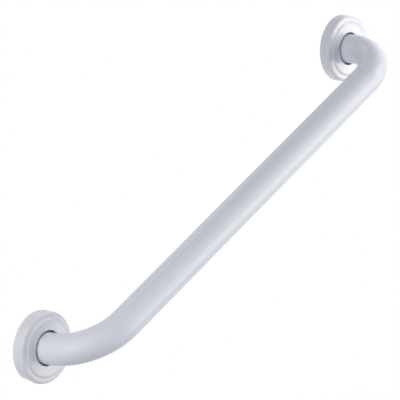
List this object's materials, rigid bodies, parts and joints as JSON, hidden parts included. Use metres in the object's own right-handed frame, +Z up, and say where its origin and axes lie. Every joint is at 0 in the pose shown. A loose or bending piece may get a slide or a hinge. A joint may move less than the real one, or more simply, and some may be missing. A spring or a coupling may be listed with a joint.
{
  "type": "grab bar",
  "caption": "Straight white-coated steel tube grab bar with curved ends, welded wall plates and stepped round covers that slide along the legs off the fixing screws.",
  "frame": {"origin": "on the wall plane, midway between the axes of the two legs", "axes": "+X along the bar, to the right as one faces the wall; +Y into the wall, so the bar stands out towards -Y; +Z up"},
  "size_m": [0.68, 0.0955, 0.08],
  "materials": {
    "white_coating": "glossy baked coating on steel",
    "cover_plastic": "moulded gloss"
  },
  "bodies": {
    "bar": {"bar": "white_coating", "left_plate": "white_coating", "right_plate": "white_coating"},
    "left_cover": {"left_cover": "cover_plastic"},
    "right_cover": {"right_cover": "cover_plastic"}
  },
  "joints": [
    {"name": "left_cover_slide", "type": "slide", "parent": "bar", "child": "left_cover", "axis": [0, -1, 0], "range_m": [0, 0.015]},
    {"name": "right_cover_slide", "type": "slide", "parent": "bar", "child": "right_cover", "axis": [0, -1, 0], "range_m": [0, 0.015]}
  ]
}
